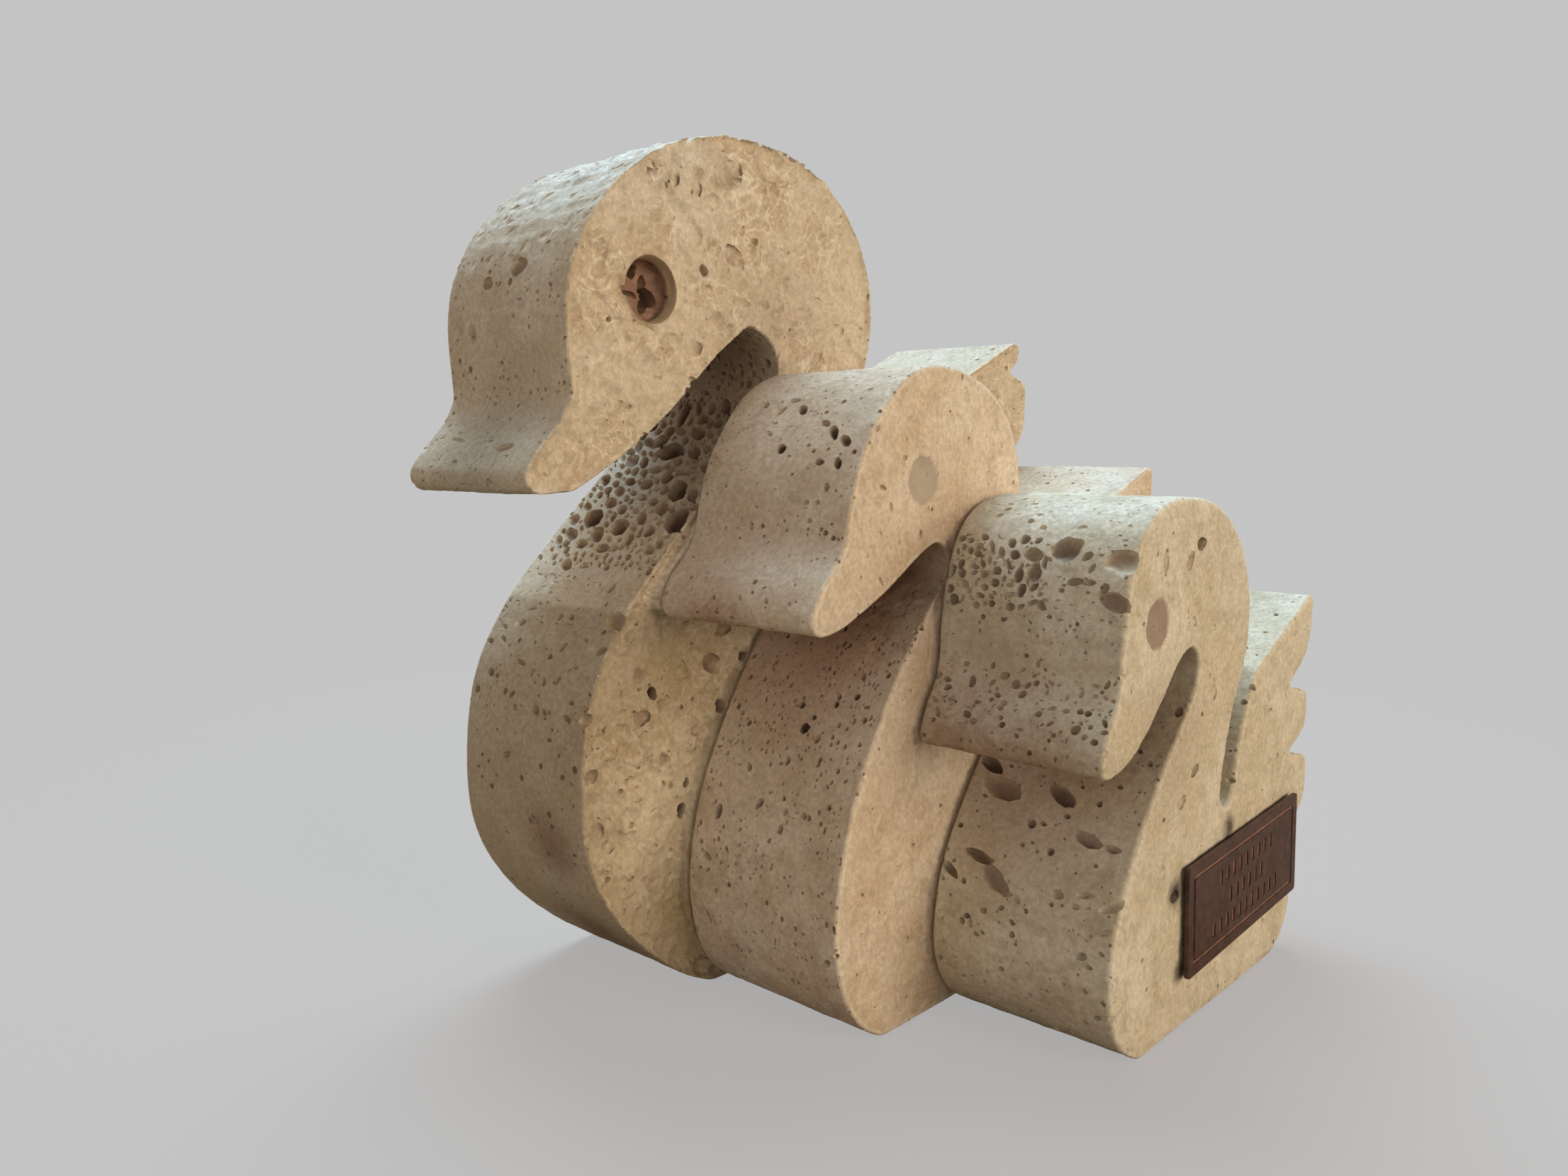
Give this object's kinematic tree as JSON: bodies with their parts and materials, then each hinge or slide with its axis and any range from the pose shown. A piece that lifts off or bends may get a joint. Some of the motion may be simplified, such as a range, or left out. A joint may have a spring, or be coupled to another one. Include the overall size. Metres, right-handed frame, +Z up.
{
  "type": "swan statuette",
  "caption": "Family of stylised travertine swans, each cut as a silhouette from a thick slab and set face to face, stepping down in size, with a small plate on the rump.",
  "frame": {"origin": "on the ground under the middle of the group's box", "axes": "+Z up, the birds look along -Y, and the smallest bird is on the +X side"},
  "size_m": [0.094, 0.1244, 0.1331],
  "materials": {
    "travertine": "honed and tumbled, open pores",
    "label_foil": "satin, dark brown with a copper border"
  },
  "bodies": {
    "root": {"swan_large": "travertine", "swan_medium": "travertine", "swan_small": "travertine", "label_plate": "label_foil"}
  },
  "joints": []
}
